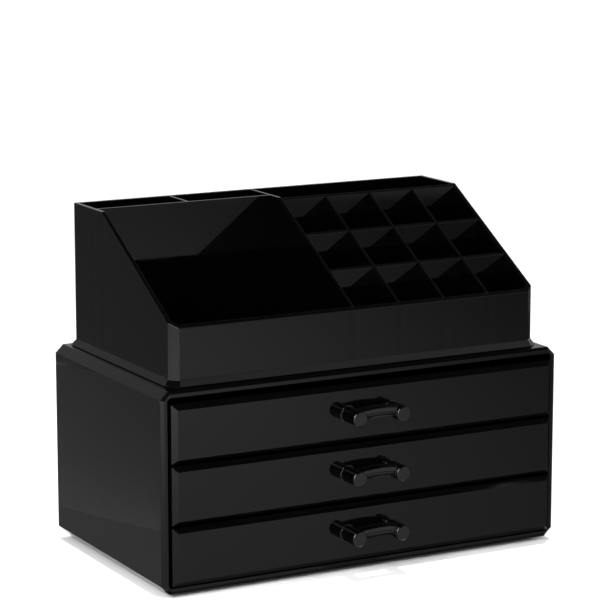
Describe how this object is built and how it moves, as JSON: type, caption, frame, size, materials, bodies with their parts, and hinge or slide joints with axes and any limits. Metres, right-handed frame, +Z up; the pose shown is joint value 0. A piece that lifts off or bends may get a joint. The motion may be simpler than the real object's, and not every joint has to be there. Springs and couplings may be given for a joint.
{
  "type": "makeup organizer with drawers",
  "caption": "Desktop make-up organizer: a low chest of full-width drawers with bar handles, carrying a separate open tray with sloping sides, compartments and a tiered lipstick rack.",
  "frame": {"origin": "on the floor, midway between the chest's sides and midway between its back and the ends of the handles", "axes": "+Z up, -Y towards the drawers' side, +X to the right of someone facing the drawers"},
  "size_m": [0.24, 0.1526, 0.1896],
  "materials": {
    "black_plastic": "mirror-gloss moulded black plastic",
    "handle_plastic": "polished moulded black plastic",
    "screw_steel": "blackened steel, plain"
  },
  "bodies": {
    "chest": {"case_shell": "black_plastic", "case_back": "black_plastic", "drawer_runners": "black_plastic"},
    "bottom_drawer": {"bottom_drawer_bin": "black_plastic", "bottom_drawer_front": "black_plastic", "bottom_drawer_handle": "handle_plastic", "bottom_drawer_screws": "screw_steel"},
    "middle_drawer": {"middle_drawer_bin": "black_plastic", "middle_drawer_front": "black_plastic", "middle_drawer_handle": "handle_plastic", "middle_drawer_screws": "screw_steel"},
    "top_drawer": {"top_drawer_bin": "black_plastic", "top_drawer_front": "black_plastic", "top_drawer_handle": "handle_plastic", "top_drawer_screws": "screw_steel"},
    "tray": {"tray_shell": "black_plastic", "centre_wall": "black_plastic", "left_cross_wall": "black_plastic", "right_cross_wall": "black_plastic", "rear_divider": "black_plastic", "rack_wall_front": "black_plastic", "rack_wall_rear": "black_plastic", "rack_step_middle": "black_plastic", "rack_step_rear": "black_plastic", "rack_fin_left": "black_plastic", "rack_fin_middle": "black_plastic", "rack_fin_right": "black_plastic"}
  },
  "joints": [
    {"name": "bottom_drawer_slide", "type": "slide", "parent": "chest", "child": "bottom_drawer", "axis": [0, -1, 0], "range_m": [0, 0.105]},
    {"name": "middle_drawer_slide", "type": "slide", "parent": "chest", "child": "middle_drawer", "axis": [0, -1, 0], "range_m": [0, 0.105]},
    {"name": "top_drawer_slide", "type": "slide", "parent": "chest", "child": "top_drawer", "axis": [0, -1, 0], "range_m": [0, 0.105]},
    {"name": "tray_lift", "type": "slide", "parent": "chest", "child": "tray", "axis": [0, 0, 1], "range_m": [0, 0.08]}
  ]
}
